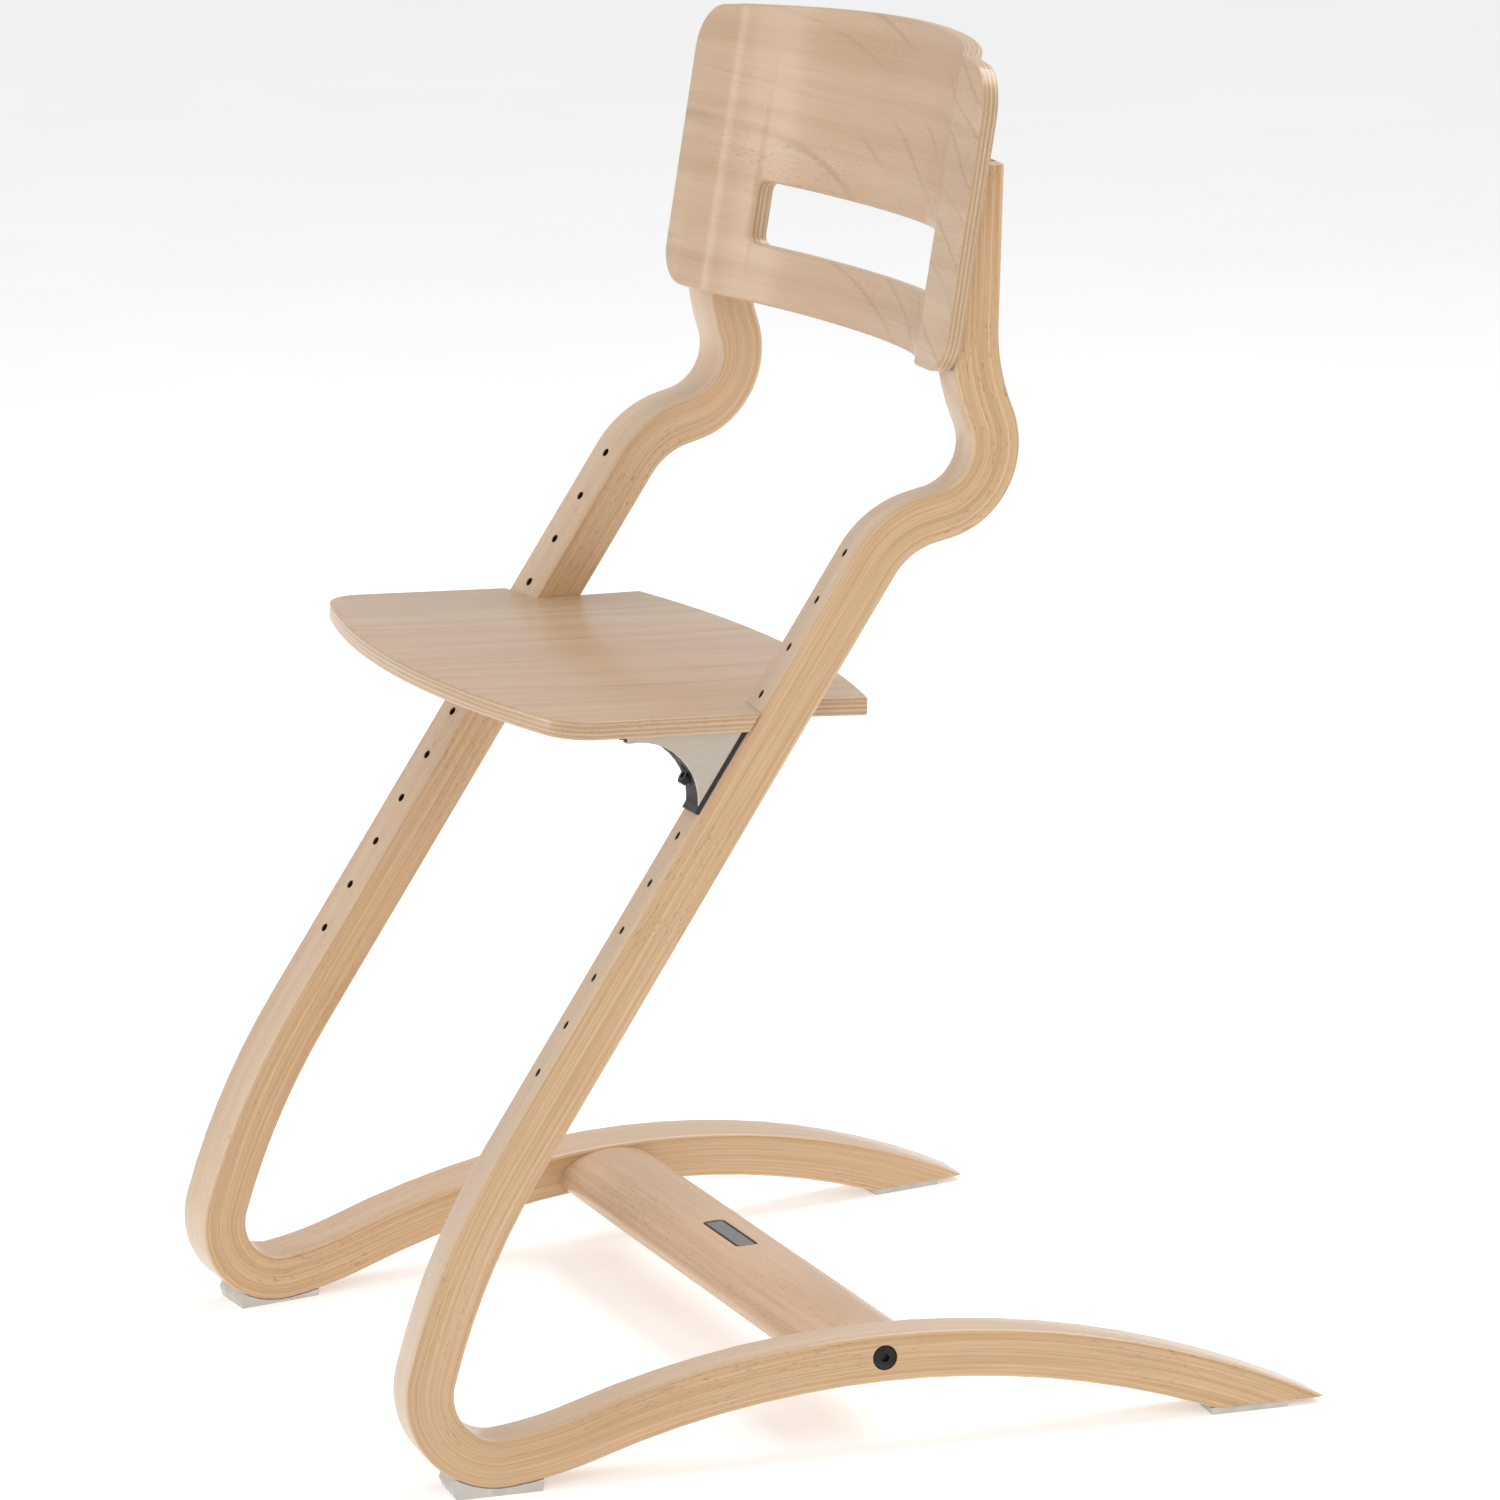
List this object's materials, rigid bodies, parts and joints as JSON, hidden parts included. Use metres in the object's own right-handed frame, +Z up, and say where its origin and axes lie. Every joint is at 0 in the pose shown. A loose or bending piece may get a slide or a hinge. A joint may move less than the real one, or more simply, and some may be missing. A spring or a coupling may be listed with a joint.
{
  "type": "baby high chair",
  "caption": "High chair of two bent laminated ribbon frames, a crossbar, a curved slotted backrest and a seat plate that refastens at any height.",
  "frame": {"origin": "on the floor under the middle of the overall box", "axes": "+Z up, the sitter faces -Y, +X is the sitter's left"},
  "size_m": [0.5472, 0.5683, 0.823],
  "materials": {
    "laminated_beech": "clear satin lacquer over pressed beech laminate",
    "beech_plywood": "clear satin lacquer, ply lines on the edges",
    "dowel_wood": "plain fluted dowel",
    "black_metal": "satin black",
    "black_core": "matte black moulding",
    "black_pad": "matte black pad",
    "brushed_steel": "brushed",
    "zinc_steel": "zinc plated",
    "badge_metal": "satin, left blank",
    "grey_glide": "matte grey moulding"
  },
  "bodies": {
    "chair": {"side_frame_left": "laminated_beech", "side_frame_right": "laminated_beech", "frame_sleeves_left": "zinc_steel", "frame_sleeves_right": "zinc_steel", "crossbar": "laminated_beech", "crossbar_badge": "badge_metal", "crossbar_bolts": "black_metal", "crossbar_barrel_nuts": "zinc_steel", "crossbar_dowels": "dowel_wood", "front_glide_left": "grey_glide", "front_glide_right": "grey_glide", "rear_glide_left": "grey_glide", "rear_glide_right": "grey_glide", "glide_pins": "zinc_steel", "backrest": "beech_plywood", "backrest_sleeves": "zinc_steel", "backrest_bolts": "black_metal"},
    "seat_unit": {"seat": "beech_plywood", "bracket_core_left": "black_core", "bracket_core_right": "black_core", "bracket_cheek_left": "brushed_steel", "bracket_cheek_right": "brushed_steel", "bracket_pad_left": "black_pad", "bracket_pad_right": "black_pad", "bracket_bolts": "black_metal", "seat_screws": "zinc_steel"}
  },
  "joints": [
    {"name": "seat_height", "type": "slide", "parent": "chair", "child": "seat_unit", "axis": [0, 0.5621, 0.8271], "range_m": [-0.192, 0.128]}
  ]
}
